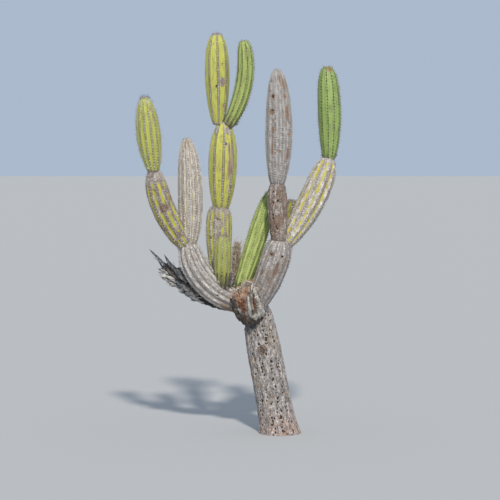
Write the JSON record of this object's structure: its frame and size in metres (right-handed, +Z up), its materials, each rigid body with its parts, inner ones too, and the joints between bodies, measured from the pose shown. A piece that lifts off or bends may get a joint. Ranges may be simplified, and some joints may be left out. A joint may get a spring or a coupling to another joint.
{
  "type": "candelabra cactus",
  "caption": "Tall ribbed tree cactus: a leaning grey trunk that carries a candelabra of jointed upright arms, green above and corky below, with dead and torn limbs.",
  "frame": {"origin": "middle of the flat cut under the trunk, at ground level", "axes": "+Z up, +X to the right and +Y away from a viewer who faces the plant"},
  "size_m": [1.0195, 0.5403, 2.0101],
  "materials": {
    "bark": "rough pale grey cork with long fissures and small pits",
    "grey_skin": "matt grey cork over the ribs, streaked and pitted",
    "brown_skin": "matt brown cork with dark holes",
    "striped_skin": "grey cork on the ribs, yellow-green skin in the furrows",
    "yellow_skin": "waxy yellow-green skin with white felt along the ribs",
    "green_skin": "waxy fresh green skin with dark dots along the ribs",
    "torn_wood": "torn woody fibre, rust brown and peach",
    "dry_wood": "dry grey-brown fibre and curled bark"
  },
  "bodies": {
    "root": {"trunk": "bark", "left_lower_arm": "grey_skin", "left_middle_arm": "striped_skin", "left_top_arm": "yellow_skin", "left_grey_arm": "grey_skin", "right_lower_arm": "grey_skin", "right_middle_arm": "brown_skin", "right_top_arm": "grey_skin", "right_outer_arm": "striped_skin", "right_tip_arm": "green_skin", "centre_lower_arm": "striped_skin", "centre_middle_arm": "yellow_skin", "centre_top_arm": "yellow_skin", "centre_side_arm": "green_skin", "young_front_arm": "green_skin", "slanting_green_arm": "green_skin", "back_lower_arm": "green_skin", "back_upper_arm": "striped_skin", "broken_stub": "torn_wood", "withered_arm": "dry_wood", "dead_arm": "dry_wood"}
  },
  "joints": []
}
